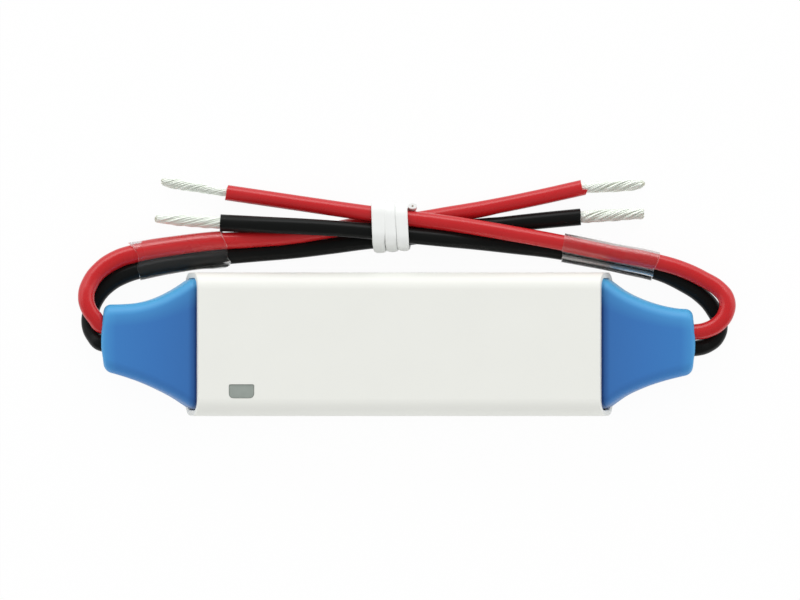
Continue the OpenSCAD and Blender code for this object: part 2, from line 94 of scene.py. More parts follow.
# %% The points that each lead follows
lead_d = 2.4 * MM
exit_x = 45.65
routes = {
    "left_red": [
        (-27.2, 2.9, 4.6), (-exit_x, 2.9, 4.6),
        (-46.6, 4.05, 5.05), (-47.6, 5.55, 5.05), (-47.97, 7.4, 4.5), (-47.4, 9.4, 3.6),
        (-45.9, 11.4, 2.8), (-43.7, 12.95, 2.2), (-40.8, 13.95, 1.9), (-35.0, 15.0, 1.9),
        (-29.0, 15.72, 2.2), (-22.9, 16.07, 2.5), (-16.5, 16.6, 2.5), (-11.0, 17.45, 2.3),
        (-4.5, 18.6, 2.15), (1.5, 19.0, 2.15), (7.8, 20.0, 1.6), (14.0, 21.05, 1.3),
        (21.0, 22.46, 1.25), (27.8, 23.98, 1.25),
    ],
    "left_black": [
        (-27.2, 0.1, 3.6), (-exit_x, 0.1, 3.6),
        (-46.85, 1.2, 2.75), (-47.6, 2.95, 1.95), (-47.4, 4.95, 1.6), (-46.5, 7.2, 1.5),
        (-44.8, 9.1, 1.45), (-42.3, 10.55, 1.45), (-38.2, 11.72, 1.45), (-33.6, 12.55, 1.45),
        (-28.0, 13.35, 1.45), (-22.5, 13.85, 1.4), (-16.5, 14.35, 1.4), (-10.5, 15.05, 1.7),
        (-4.3, 15.85, 2.15), (1.5, 16.4, 2.15), (7.8, 17.38, 1.6), (14.0, 18.12, 1.3),
        (21.0, 18.9, 1.3), (27.8, 19.55, 1.35),
    ],
    "right_red": [
        (27.2, 1.9, 4.7), (exit_x, 1.9, 4.7),
        (47.3, 2.25, 4.85), (48.95, 3.2, 4.8), (50.15, 4.9, 4.5), (50.25, 6.8, 4.0),
        (49.1, 8.45, 3.4), (46.8, 9.92, 3.15), (43.55, 11.45, 3.3), (39.8, 12.58, 3.6),
        (32.0, 14.15, 3.65), (24.0, 15.76, 3.6), (17.5, 16.93, 3.65), (11.0, 18.03, 4.1),
        (5.0, 18.87, 4.55), (1.0, 19.35, 4.6), (-4.5, 20.05, 4.4), (-11.5, 21.05, 3.2),
        (-18.5, 22.1, 1.9), (-26.55, 23.3, 1.25),
    ],
    "right_black": [
        (27.2, -0.6, 3.6), (exit_x, -0.6, 3.6),
        (47.35, -0.1, 2.95), (48.8, 1.15, 2.3), (49.25, 3.1, 1.9), (48.25, 5.45, 1.6),
        (46.4, 7.5, 1.5), (43.7, 9.25, 1.45), (40.0, 10.95, 1.45), (34.5, 12.3, 1.45),
        (29.0, 13.4, 1.45), (23.5, 14.4, 1.4), (17.5, 15.1, 1.5), (12.0, 15.7, 2.6),
        (7.0, 16.15, 4.05), (1.5, 16.67, 4.6), (-4.5, 17.3, 4.7), (-12.0, 17.88, 4.9),
        (-20.0, 18.27, 4.4), (-27.4, 18.63, 2.4),
    ],
}


# %% A smooth line through each lead's points
def mesh_of(curve):
    """The mesh of a curve, which is removed."""
    guide = bpy.data.objects.new("guide", curve)
    mesh = bpy.data.meshes.new_from_object(guide)
    bpy.data.curves.remove(curve)
    return mesh


def smooth_line(points, steps_between=10):
    """The points of a smooth curve through the given ones, which are in millimetres."""
    curve = bpy.data.curves.new("guide", "CURVE")
    curve.dimensions = "3D"
    curve.resolution_u = steps_between
    spline = curve.splines.new("BEZIER")
    spline.bezier_points.add(len(points) - 1)
    for knot, place in zip(spline.bezier_points, points):
        knot.co = Vector(place) * MM
        knot.handle_left_type = knot.handle_right_type = "AUTO"
    mesh = mesh_of(curve)
    line = [v.co.copy() for v in mesh.vertices]
    bpy.data.meshes.remove(mesh)
    return line


def length_of(line):
    return sum((b - a).length for a, b in zip(line, line[1:]))


def touching(pair, widest=0.6 * MM):
    """Draws two neighbouring lines together where only a narrow gap parts them. Returns how
    far each has moved, because its insulation grows by as much."""
    moves = []
    for line, other in (pair, pair[::-1]):
        found = []
        for place in line:
            near = min(other, key=lambda p: (p.xy - place.xy).length)
            apart = (near.xy - place.xy).length - lead_d
            share = max(0.0, min(1.0, (widest - apart) / (0.5 * widest)))
            found.append(((near - place).normalized(), max(0.0, apart) / 4 * share))
        moves.append(found)
    for line, found in zip(pair, moves):
        for place, (towards, step) in zip(line, found):
            place.xy += towards.xy * step
    return [[step for towards, step in found] for found in moves]


lines = {name: smooth_line(points) for name, points in routes.items()}
grown = dict(zip(("left_red", "left_black"), touching((lines["left_red"], lines["left_black"]))))
for name, line in lines.items():
    print(name, "is", round(length_of(line) / MM, 1), "mm long in", len(line), "points")

# %% [markdown]
# ## Lofting a ring along a line
#
# Leads, sleeves and the tie are all one idea: a closed ring is carried along a line and changes
# as it goes. One helper does it. It starts from a circle of edges, extrudes those edges once
# for every further ring, and moves the new vertices to their places. The frame that turns as
# little as it can along the line keeps the rings from twisting.

# %% The helpers that carry a ring along a line
def mix(a, b, share):
    return a + (b - a) * share


def travel(line):
    """For each point of a line: its place, the way ahead, and two directions across."""
    up = Vector((0, 0, 1))
    stops = []
    for i, place in enumerate(line):
        ahead = (line[min(i + 1, len(line) - 1)] - line[max(i - 1, 0)]).normalized()
        up = (up - ahead * up.dot(ahead)).normalized()
        stops.append((place, ahead, up.cross(ahead), up))
    return stops


def full_turn(count):
    return [2 * math.pi * k / count for k in range(count)]


def arc(middle, radius, side, up, turns):
    """Points round a middle. A turn of 0 is towards the side."""
    return [middle + radius * (math.cos(t) * side + math.sin(t) * up) for t in turns]


def drawn_out(bm, edges):
    """Extrudes open edges and returns the new vertices."""
    parts = bmesh.ops.extrude_edge_only(bm, edges=edges)["geom"]
    return [v for v in parts if isinstance(v, bmesh.types.BMVert)]


def ring_edges(bm, ring):
    return [bm.edges.get(pair) for pair in zip(ring, ring[1:] + ring[:1])]


# %% Carry the ring, and keep where each vertex lies
def loft(bm, sections):
    """Extrudes a ring of edges through the given sections. Returns the rings of vertices."""
    bm.verts.layers.float_vector.new("straight")
    ring = bmesh.ops.create_circle(bm, segments=len(sections[0]), radius=MM)["verts"]
    rings = [ring]
    for section in sections[1:]:
        fresh = set(drawn_out(bm, ring_edges(bm, ring)))
        ring = [next(e.other_vert(v) for e in v.link_edges if e.other_vert(v) in fresh)
                for v in ring]
        rings.append(ring)
    for ring, section in zip(rings, sections):
        for v, place in zip(ring, section):
            v.co = place
    return rings


def unrolled(bm, rings, middles, radius):
    """Keeps where each vertex lies on the straightened piece: along it, and round it."""
    layer = bm.verts.layers.float_vector["straight"]
    along = 0
    for i, ring in enumerate(rings):
        if i:
            along += (middles[i] - middles[i - 1]).length
        for v, turn in zip(ring, full_turn(len(ring))):
            v[layer] = (along, radius * math.cos(turn), radius * math.sin(turn))


def closed_loft(sections, middles, radius):
    """A mesh that follows the sections and has a face over each end."""
    bm = bmesh.new()
    rings = loft(bm, sections)
    unrolled(bm, rings, middles, radius)
    for ring in (rings[0], rings[-1]):
        bmesh.ops.edgeloop_fill(bm, edges=ring_edges(bm, ring))
    return bm


# %% From a finished mesh to a piece
def object_of(bm, name):
    mesh = bpy.data.meshes.new(name)
    bm.to_mesh(mesh)
    bm.free()
    return in_scene(name, mesh)


def make_piece(bm, name, node, crease=60):
    """Makes an object of a finished mesh, which rides on the model and stands for a node."""
    bmesh.ops.recalc_face_normals(bm, faces=bm.faces)
    piece = object_of(bm, name)
    piece.data.shade_smooth()
    piece.data.set_sharp_from_angle(angle=math.radians(crease))
    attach(piece, "root")
    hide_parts(node)
    print(name, "has", len(piece.data.polygons), "faces")
    return piece


# %% [markdown]
# ## The insulated leads
#
# A lead is a tube of 40 sides through its smooth line. Soft insulation is never quite even: it
# is thicker in the loops and thinner where the tie squeezes it, so each lead has a list of half
# thicknesses at even steps along it. Its free end is cut with pliers, straight down. The cut
# leans a little on each lead, and on one of them the cutter left a tongue on the near side. The
# rim is broken by a narrow chamfer, and behind it the end is stepped in to a bore, where the
# strands come out.

# %% Insulation with its cut end
lead_sides = 40
bore_share = 0.6
bore_depth = 0.5 * MM
rim = 0.06 * MM
cut_waves = 0.03 * MM
bore_follows_cut = 0.5
# Half thicknesses in millimetres
girths = {
    "left_red": [1.2, 1.2, 1.33, 1.36, 1.28, 1.2, 1.2, 1.21],
    "left_black": [1.2, 1.2, 1.33, 1.29, 1.26, 1.22, 1.24, 1.3],
    "right_red": [1.2, 1.24, 1.27, 1.23, 1.21, 1.2, 1.2, 1.2],
    "right_black": [1.2, 1.24, 1.27, 1.23, 1.24, 1.25, 1.21, 1.32],
}
# How far past the line's end a lead is cut, and how much further on its left side
cuts = {"left_red": (0.3, 0.09), "left_black": (0.1, 0.07),
        "right_red": (0.0, 0.06), "right_black": (0.1, 0.0)}
tongue_from, tongue_to = math.radians(108), math.radians(250)
tongue_long, tongue_short = 1.12 * MM, 0.35 * MM


def along_list(values, share):
    """The value at a share from 0 to 1 of an evenly spaced list."""
    at = share * (len(values) - 1)
    low = min(int(at), len(values) - 2)
    return mix(values[low], values[low + 1], at - low)


def round_section(stop, radius, slip=None):
    """A circle across a line. slip, a function of the turn, moves its points along the line."""
    place, ahead, side, up = stop
    turns = full_turn(lead_sides)
    ring = arc(place, radius, side, up, turns)
    return [point + ahead * slip(t) for point, t in zip(ring, turns)] if slip else ring


def half_thicknesses(name):
    """A lead's half thickness at each point of its line."""
    last = len(lines[name]) - 1
    radii = [along_list(girths[name], i / last) * MM for i in range(last + 1)]
    return [radius + more for radius, more in zip(radii, grown.get(name, [0] * (last + 1)))]


lead_radii = {name: half_thicknesses(name) for name in lines}


# %% Make the four tubes
def make_lead(name):
    line, radii = lines[name], lead_radii[name]
    stops = travel(line)
    place, ahead, side, up = stops[-1]
    heading = Vector((ahead.x, ahead.y, 0)).normalized()
    left = Vector((0, 0, 1)).cross(heading)
    further, lean = cuts[name]
    end = radii[-1]

    def cut(turn):
        outward = math.cos(turn) * side + math.sin(turn) * up
        reach = (further + lean * outward.dot(left)) * MM
        reach += cut_waves * math.sin(3 * turn + len(name))
        reach -= end * outward.dot(heading) / ahead.dot(heading)
        turn = math.atan2(outward.z, outward.dot(left)) % (2 * math.pi)
        if name == "left_red" and tongue_from < turn < tongue_to:
            share = (turn - tongue_from) / (tongue_to - tongue_from)
            reach += mix(tongue_long, tongue_short, share) - further * MM
        return reach

    sections = [round_section(stop, radius) for stop, radius in zip(stops, radii)]
    sections[-1] = round_section(stops[-1], end, lambda t: cut(t) - rim)
    sections.append(round_section(stops[-1], end - rim, cut))
    sections.append(round_section(stops[-1], bore_share * end,
                                  lambda t: bore_follows_cut * cut(t)))
    bottom = (place - ahead * bore_depth, ahead, side, up)
    sections.append(round_section(bottom, bore_share * end))
    bm = closed_loft(sections, line + [place, place, bottom[0]], lead_d / 2)
    return make_piece(bm, f"{name}_insulation", f"{name}_lead",
                      crease=40)


leads = {name: make_lead(name) for name in lines}

# %% [markdown]
# ## The stripped strands
#
# The insulation is stripped for 10 mm and the tinned strands are twisted by hand, so each end
# came out differently: three draw in towards the tip, and one is cut off square. Every strand
# is a curve of its own that winds round the bundle's line. A curve with a round bevel is the
# natural tool, because its radius can also shrink towards the tip. The outer strands lie in a
# few bunches with a valley between them, like the lays of a rope, and others fill the inside.
# The finished curves become one mesh, which keeps how far from the middle each vertex lies, so
# that the metal can be painted darker inside: painted shade between the strands.

# %% One bundle of strands for each free end
strand_r = 0.17 * MM
strand_steps = 36
tip_taper = 0.6
hidden_length = 0.4 * MM
spread_out = 0.9
flatness = 0.9
# How far a strand strays in its turn and in its distance from the middle, for good and in waves
stray_turn, wave_turn = 0.06, 0.08
stray_away, wave_away = 0.06, 0.05
# The strands in each inner ring, and its share of the bundle's radius
inner_rings = [(12, 0.7), (6, 0.36), (1, 0.0)]
tips = {"left_red": (37.6, 24.6, 0.85), "left_black": (37.5, 20.1, 0.9),
        "right_red": (-36.4, 25.0, 0.8), "right_black": (-37.6, 19.3, 0.85)}
# For each bundle: half its width at even steps along it in millimetres, its length in
# millimetres, its turns, how ragged its tip is, its bunches, and the strands in each
bundles = {
    "left_red": ([0.62, 0.8, 0.88, 0.9, 0.88, 0.84, 0.6], 10.1, 0.85, 0.05, 6, 3),
    "left_black": ([0.8, 0.96, 0.94, 0.92, 0.88, 0.86, 0.84], 9.95, 0.8, 0.02, 6, 3),
    "right_red": ([0.58, 0.66, 0.7, 0.76, 0.84, 0.8, 0.6], 10.3, 1.35, 0.05, 4, 3),
    "right_black": ([0.84, 0.92, 0.9, 0.88, 0.84, 0.72, 0.6], 10.35, 0.75, 0.03, 5, 4),
}


def wander(number, most):
    """A small number that looks random and is the same each run."""
    return most * (2 * ((math.sin(number * 12.9898) * 43758.5453) % 1.0) - 1)


# %% Wind the strands of each bundle
def make_strands(name):
    start = lines[name][-1]
    ahead = (Vector(tips[name]) * MM - start).normalized()
    side = Vector((0, 0, 1)).cross(ahead).normalized()
    up = ahead.cross(side)
    widths, length, turns, ragged, bunches, in_bunch = bundles[name]
    length *= MM
    curve = bpy.data.curves.new(f"{name}_strands", "CURVE")
    curve.dimensions = "3D"
    curve.bevel_depth = strand_r
    curve.bevel_resolution = 2
    curve.use_fill_caps = True
    starts = [((g + spread_out * j / in_bunch) / bunches, 1.0)
              for g in range(bunches) for j in range(in_bunch)]
    starts += [(k / count, share) for count, share in inner_rings for k in range(count)]
    for seed, (place_round, share) in enumerate(starts, start=7 * len(name) + 1):
        spline = curve.splines.new("POLY")
        spline.points.add(strand_steps)
        own_length = 1 - abs(wander(seed, ragged)) - 0.5 * ragged * share ** 3
        for i, point in enumerate(spline.points):
            t = i / strand_steps * own_length
            half = along_list(widths, t) * MM - strand_r
            turn = 2 * math.pi * (place_round - turns * t) + wander(seed + 50, stray_turn)
            turn += wave_turn * math.sin(2 * math.pi * (1.3 * t + 0.37 * seed))
            away = half * share * (1 + wander(seed + 90, stray_away))
            away *= 1 + wave_away * math.sin(2 * math.pi * (0.9 * t + 0.61 * seed))
            place = (start + ahead * (t * length - hidden_length * (1 - t))
                     + away * math.cos(turn) * side + flatness * away * math.sin(turn) * up)
            point.co = (*place, 1)
            point.radius = 1 if i < strand_steps else tip_taper
    mesh = mesh_of(curve)
    bm = bmesh.new()
    bm.from_mesh(mesh)
    bpy.data.meshes.remove(mesh)
    bmesh.ops.remove_doubles(bm, verts=bm.verts, dist=1e-7)
    layer = bm.verts.layers.float_vector.new("bundle")
    for v in bm.verts:
        along = (v.co - start).dot(ahead)
        away = (v.co - start - along * ahead).length
        t = max(0.0, min(1.0, along / length))
        v[layer] = (along, away / (along_list(widths, t) * MM), 0)
    return make_piece(bm, f"{name}_strands", f"{name}_bare_end")


strands = {name: make_strands(name) for name in lines}

# %% [markdown]
# ## The clear sleeves
#
# A short clear sleeve holds each pair of leads where it leaves the loop. It was shrunk round
# both of them, so its section is a band: a half circle round each lead and a run between them.
# The left sleeve is tight, with a thick bead at its inner end and a small torn flap at the
# other. The right one stands off the red lead and follows the black one deep into the valley.
#
# Clear plastic shows mostly by its thickness, because a thick wall bends what is seen through
# it and a red lead seems to fill it. A Solidify modifier gives one thickness everywhere, so the
# wall is lofted instead: the ring goes out along the outside, turns in at the cut end and comes
# back along the inside to where it started. Where it is tight its inside lies a hair inside the
# leads, because an air gap would hide that bending.

# %% The place and thickness of a lead
past_relief = 12


def lead_at(name, x):
    """A lead's middle and its half thickness at a place along the tube, past the relief."""
    line, radii = lines[name], lead_radii[name]
    for i in range(past_relief, len(line) - 1):
        a, b = line[i], line[i + 1]
        if min(a.x, b.x) <= x <= max(a.x, b.x) and a.x != b.x:
            share = (x - a.x) / (b.x - a.x)
            return a.lerp(b, share), mix(radii[i], radii[i + 1], share)
    raise ValueError(f"{name} never comes to x {x}")


def bump_at(value, centre, reach):
    """A smooth hump of height 1 round a centre."""
    return math.exp(-((value - centre) / reach) ** 2)


print("the left red lead is", round(2 * lead_at("left_red", -33 * MM)[1] / MM, 2),
      "mm thick inside its sleeve")

# %% A wall round each pair
touch = -0.012 * MM
curl, curl_reach = 0.02 * MM, 0.11 * MM
pleat_inside = 0.4
least_veil = 0.002
outside_low, inside_low = 0.01 * MM, 0.08 * MM
arc_points = 30
run_shares = [k / 10 for k in range(1, 10)]
end_steps = [0, 0.04, 0.09, 0.16, 0.26, 0.4, 0.7]
rings_between = 30


def band_section(pair, along, gap, hugs, pleat, pull, lowest):
    """A band round two leads. gap is how far a direction stands off a lead, hugs are the angles
    by which it follows them down into the valley, pleat is what a place on the run over the
    valley adds to its height, and pull how far a place across is drawn along the leads."""
    side = pair[0][0] - pair[1][0]
    side = (side - along * side.dot(along)).normalized()
    up = along.cross(side)
    up = up if up.z > 0 else -up
    spans = ((-math.pi / 2, math.pi / 2 + hugs[0]), (math.pi / 2 - hugs[1], 1.5 * math.pi))
    arcs = []
    for (middle, radius), (first, last) in zip(pair, spans):
        turns = [mix(first, last, k / (arc_points - 1)) for k in range(arc_points)]
        arcs.append([middle + (radius + gap(t)) * (math.cos(t) * side + math.sin(t) * up)
                     for t in turns])
    start, end = arcs[0][-1], arcs[1][0]
    dip = (start - end).length / 2 * math.tan(sum(hugs) / 2)
    valley = (start + end) / 2 - dip * up
    top = [start.lerp(valley, s).lerp(valley.lerp(end, s), s) + pleat(s) * up for s in run_shares]
    bottom = [arcs[1][-1].lerp(arcs[0][0], s) for s in run_shares]
    section = arcs[0] + top + arcs[1] + bottom
    middle = (pair[0][0] + pair[1][0]) / 2
    half = (pair[0][0] - middle).dot(side) + pair[0][1]
    for place in section:
        place += along * pull((place - middle).dot(side) / half)
        place.z = max(place.z, lowest)
    return section


# %% Loft a wall with an outside and an inside
def make_sleeve(side_name, ends, hugs, gap, wall, pleat, pull, veil):
    length = abs(ends[1] - ends[0])
    steps = [step * MM / length for step in end_steps]
    between = [mix(steps[-1], 1 - steps[-1], i / rings_between) for i in range(1, rings_between)]
    shares = steps + between + [1 - step for step in reversed(steps)]
    pairs = [[lead_at(f"{side_name}_{colour}", mix(*ends, share)) for colour in ("red", "black")]
             for share in shares]
    middles = [(red[0] + black[0]) / 2 for red, black in pairs]
    ahead = [(b - a).normalized() for a, b in zip(middles, middles[2:])]
    ahead = [ahead[0]] + ahead + [ahead[-1]]

    def surface(outside, lowest):
        sections = []
        for pair, along, share in zip(pairs, ahead, shares):
            from_end = min(share, 1 - share) * length
            lift = curl * bump_at(from_end, 0, curl_reach)
            sections.append(band_section(
                pair, along, lambda t: lift + gap(share, t) + (wall(share, t) if outside else 0),
                hugs, lambda s: pleat(share, s) * (1 if outside else pleat_inside),
                lambda across: pull(share, across), lowest))
        return sections

    outside, inside = surface(True, outside_low), surface(False, inside_low)
    bm = bmesh.new()
    bm.verts.layers.float_vector.new("veil")
    rings = loft(bm, outside + inside[::-1] + outside[:1])
    unrolled(bm, rings, middles + middles[::-1] + middles[:1], lead_d)
    layer = bm.verts.layers.float_vector["veil"]
    for ring, share in zip(rings, shares + shares[::-1] + shares[:1]):
        for k, v in enumerate(ring):
            v[layer] = (max(0.0, veil(share, k)), 0, 0)
    run_end = arc_points + len(run_shares) + 1
    over_valley = {v for ring in rings for v in ring[arc_points - 1:run_end]}
    outer = {v for ring in rings[:len(pairs)] + rings[-1:] for v in ring}
    inner_cut = set(rings[len(pairs) - 1] + rings[len(pairs)])
    outer_cut = set(rings[-1] + rings[-2])
    for face in bm.faces:
        verts = set(face.verts)
        # Faces where the whitish layer paints the film's reflection take the third material
        veiled = max(v[layer].x for v in verts) > least_veil
        if verts <= inner_cut or verts <= outer_cut:
            face.material_index = 1
        elif veiled and (verts <= outer or verts <= over_valley):
            face.material_index = 2
    bmesh.ops.remove_doubles(bm, verts=rings[0] + rings[-1], dist=1e-8)
    return make_piece(bm, f"{side_name}_sleeve_film", f"{side_name}_clear_sleeve")


# %% How the left sleeve differs from an even band
def left_gap(share, turn):
    """Tight, but for a torn flap at the outer end beside the red lead."""
    flap = bump_at(share, 0.0, 0.05) * bump_at(math.sin(turn), 0.15, 0.45)
    return touch + (0.22 * MM * flap if math.cos(turn) > 0 else 0)


def left_wall(share, turn):
    """Even, with a thick bead beside the black lead at the inner end."""
    bead = 0.34 * bump_at(share, 0.94, 0.16) * max(0.0, -math.cos(turn)) ** 2
    return (0.24 + bead + 0.02 * math.sin(9 * share + 2 * turn)) * MM


def left_pleat(share, run):
    """A slanting crease over the valley between the leads."""
    return 0.06 * MM * bump_at(run, 0.1 + 0.5 * share, 0.16)


def left_pull(share, across):
    """The outer end reaches further on the red side. The inner end does so before the bead."""
    outer = -0.7 * max(0.0, across) ** 3 * math.exp(-10 * share)
    inner = (0.45 * bump_at(across, -0.75, 0.25) - 0.8 * max(0.0, across) ** 2
             - 0.5 * bump_at(across, -1.15, 0.15)) * math.exp(-10 * (1 - share))
    return (outer + inner) * MM


def left_painted_reflection(share, k):
    """Painted reflection on the film: here all the way from one lead's ridge to the other's."""
    from_middle = abs(k - arc_points - len(run_shares) / 2) / 12
    return 0.06 * min(1.0, 4 * (1 - from_middle))


# %% How the right sleeve differs from an even band
def right_gap(share, turn):
    """Loose on the red lead's far side."""
    return touch + 0.24 * MM * max(0.0, math.cos(turn)) ** 1.5 * (1 + 0.1 * math.sin(9 * share))


def right_wall(share, turn):
    """Thicker on the near side."""
    near_side = max(0.0, -math.cos(turn))
    return (0.2 + 0.25 * near_side ** 1.5 + 0.015 * math.sin(7 * share + 3 * turn)) * MM


def right_pleat(share, run):
    return 0.03 * MM * bump_at(run, 0.3 + 0.06 * math.sin(5 * share), 0.12)


def right_pull(share, across):
    """The outer end is cut aslant."""
    return -0.45 * MM * max(0.0, across) * math.exp(-6 * share)


def right_painted_reflection(share, k):
    """A band of painted reflection where the film was pulled over the black lead."""
    return mix(0.75, 1, share) * bump_at(k, arc_points + len(run_shares) + 2, mix(1.5, 2, share))


# %% Make both sleeves
sleeves = {
    "left": make_sleeve("left", (-40.15 * MM, -26.35 * MM), (0.4, 0.4), left_gap, left_wall,
                        left_pleat, left_pull, left_painted_reflection),
    "right": make_sleeve("right", (39.15 * MM, 25.2 * MM), (0.1, 0.75), right_gap, right_wall,
                         right_pleat, right_pull, right_painted_reflection),
}

# %% [markdown]
# ## The twist tie
#
# A twist tie is a steel wire in a flat plastic coat. It goes three times round the four leads,
# side by side. It lies square to them over the top and comes forward underneath, and its end is
# cut off so that the wire shows. The leads stand in a leaning square, so each turn is an arc
# round every lead and a straight run to the next. The same steps as in the solid model give the
# tie's stops, only closer together. A tie wound by hand is uneven, so a few stations say where
# each turn lies and how wide it shows: the first one laps over the second, and a seam that
# slants a little parts the second from the third.

# %% Wind the tie round the leads
tie_thickness = 0.8 * MM
tie_clearance = 0.08 * MM
core_d = 0.3 * MM
core_stands_out = 0.03 * MM
wire_sides = 12
tie_tail = 1.0 * MM
tie_tail_lean = 0.2
tie_turns = 3
arc_stops = 12
tie_radius = lead_d / 2 + tie_clearance + tie_thickness / 2
passing_order = ["right_red", "right_black", "left_black", "left_red"]
# How many turns are wound, where the coat then lies along the leads, and how wide it is
tie_stations = [
    (-0.4, -3.4, 2.2), (0.0, -3.14, 2.3), (0.38, -3.14, 1.92), (1.0, -1.5, 1.62),
    (1.38, -1.22, 1.76), (2.0, 0.27, 1.94), (2.38, 0.62, 1.8), (3.0, 2.06, 1.36), (3.5, 3.0, 1.36),
]


def outward_turn(here, there):
    """The angle that points away from the bundle, square to the run from one lead to the next."""
    return math.atan2(there.z - here.z, there.y - here.y) - math.pi / 2


def tie_at(turns):
    """Where the coat lies along the leads after some turns, and its width, in millimetres."""
    for (t0, x0, w0), (t1, x1, w1) in zip(tie_stations, tie_stations[1:]):
        if t0 <= turns <= t1:
            share = (turns - t0) / (t1 - t0)
            share = share * share * (3 - 2 * share)
            return mix(x0, x1, share), mix(w0, w1, share)
    raise ValueError(f"the tie has no turn {turns}")


def tie_stop(stop):
    """The place of one stop of the tie, its outward direction, and the coat's width there."""
    turn, place = divmod(stop, 4 * arc_stops)
    lead_number, step = divmod(place, arc_stops)
    along_arc = step / (arc_stops - 1)
    x, width = tie_at(turn + (2 * lead_number + along_arc) / 8)
    middles = [lead_at(name, x * MM)[0] for name in passing_order]
    here = middles[lead_number]
    start = outward_turn(middles[lead_number - 1], here)
    swing = (outward_turn(here, middles[(lead_number + 1) % 4]) - start) % (2 * math.pi)
    angle = start + swing * along_arc
    outward = Vector((0, math.cos(angle), math.sin(angle)))
    return Vector((x * MM, here.y, here.z)) + tie_radius * outward, outward, width * MM


# %% The tie's coat and its wire
def tie_stops():
    wound = [tie_stop(stop) for stop in range(-2, tie_turns * 4 * arc_stops + 1)]
    place, outward, width = wound[-1]
    onward = (Vector((1, 0, 0)).cross(outward) + tie_tail_lean * outward).normalized()
    tail = [(place + tie_tail * share * onward, outward, width) for share in (0.25, 0.5, 0.75, 1)]
    return wound + tail


def coat_section(stop, count=32, squareness=0.7):
    """A flat band with round edges, a little thicker over the wire, across one stop."""
    place, outward, width = stop
    section = []
    for k in range(count):
        turn = 2 * math.pi * (k + 0.5) / count
        flat = math.copysign(abs(math.cos(turn)) ** squareness, math.cos(turn))
        thick = math.copysign(abs(math.sin(turn)) ** squareness, math.sin(turn))
        swell = 0.86 + 0.14 * bump_at(flat, 0, 0.6)
        section.append(place + Vector((width / 2 * flat, 0, 0))
                       + tie_thickness / 2 * thick * swell * outward)
    return section


stops = tie_stops()
bm = closed_loft([coat_section(stop) for stop in stops], [stop[0] for stop in stops], lead_d / 2)
tie_coat = make_piece(bm, "tie_coat", "twist_tie")

onward = (stops[-1][0] - stops[-2][0]).normalized()
stops += [(stops[-1][0] + core_stands_out * onward, *stops[-1][1:])]
circles = [arc(place, core_d / 2, Vector((1, 0, 0)), outward, full_turn(wire_sides))
           for place, outward, width in stops]
bm = closed_loft(circles, [stop[0] for stop in stops], core_d / 2)
tie_wire = make_piece(bm, "tie_wire", "tie_core")

# %% [markdown]

# %% [markdown]
# ## The white tube
#
# The housing is one extruded tube with rounded corners, and both its ends are sawn off on a
# slant, so that the top is shorter than the underside. It starts as a straight bar: a cube with
# its four long edges bevelled. Insetting both end faces by the wall's thickness gives the rims,
# and the edges of one inner rim are drawn through to the other, which makes the tube hollow.
#
# The light guide's opening is cut by four planes into the top's two flat faces, and bevelling
# the corner vertices rounds its corners. The two panes are taken out and the wall between them
# is drawn down. Last, every end vertex slides back in step with its height, which gives the
# slant, and small bevels break the edges that the saw left and the opening's brim.

# %% Helpers for bars with rounded corners
shell_length, shell_width, shell_height = 66 * MM, 22 * MM, 7.7 * MM
wall = 0.9 * MM
corner, corner_steps = 2.6 * MM, 10
end_rake = 2.3 * MM
half_length = shell_length / 2
rake_slope = end_rake / shell_height
tiny = 1e-6


def block(bm, size, middle):
    """A block of the given size round a middle."""
    verts = bmesh.ops.create_cube(bm, size=1)["verts"]
    bmesh.ops.scale(bm, vec=size, verts=verts)
    bmesh.ops.translate(bm, vec=middle, verts=verts)


def rounded(bm, geom, offset, segments, affect="EDGES", **more):
    """Rounds some edges, or some corners of flat faces."""
    bmesh.ops.bevel(bm, geom=geom, affect=affect, offset=offset, segments=segments,
                    profile=0.5, material=-1, **more)


def rounded_bar(bm, length, width, height, radius, floor):
    """A bar along X whose long edges are rounded, standing on the given height."""
    block(bm, (length, width, height), (0, 0, floor + height / 2))
    along = [e for e in bm.edges if abs(e.verts[0].co.x - e.verts[1].co.x) > length / 2]
    rounded(bm, along, radius, corner_steps)


def cut_across(bm, place, normal, faces=None):
    """Adds the edges where a plane goes through the mesh, or through some of its faces."""
    faces = bm.faces[:] if faces is None else faces
    edges = list(dict.fromkeys(e for f in faces for e in f.edges))
    verts = list(dict.fromkeys(v for f in faces for v in f.verts))
    bmesh.ops.bisect_plane(bm, geom=verts + edges + faces, dist=1e-7, plane_co=place,
                           plane_no=normal)


def report(what, bm):
    print(what, len(bm.faces), "faces,", sum(e.is_boundary for e in bm.edges), "open edges")


# %% A straight hollow tube
bm = bmesh.new()
rounded_bar(bm, shell_length, shell_width, shell_height, corner, 0)
ends = [f for f in bm.faces if abs(f.normal.x) > 0.9]
bmesh.ops.inset_individual(bm, faces=ends, thickness=wall, use_even_offset=True)
left_rim = list(min(ends, key=lambda f: f.calc_center_median().x).edges)
bmesh.ops.delete(bm, geom=ends, context="FACES_ONLY")
bmesh.ops.translate(bm, vec=(shell_length, 0, 0), verts=drawn_out(bm, left_rim))
bmesh.ops.remove_doubles(bm, verts=bm.verts, dist=tiny)
report("hollow tube of", bm)

# %% The light guide's opening
window_x, window_y = -24.08 * MM, -7.18 * MM
window_length, window_width = 3.88 * MM, 2.15 * MM
# The corner radius on the far side and on the near side
window_corners = ((1, 0.25 * MM), (-1, 0.7 * MM))
ceiling = shell_height - wall


def flat_top(height):
    """The faces that lie level at a height."""
    return [f for f in bm.faces if abs(f.calc_center_median().z - height) < tiny
            and abs(f.normal.z) > 0.99]


# %% Cut the opening and draw its wall down
def corner_verts(height, side):
    """The two corner vertices of the window on one of its long sides."""
    goals = [Vector((window_x + end * window_length / 2, window_y + side * window_width / 2,
                     height)) for end in (-1, 1)]
    return [min(bm.verts, key=lambda v: (v.co - goal).length) for goal in goals]


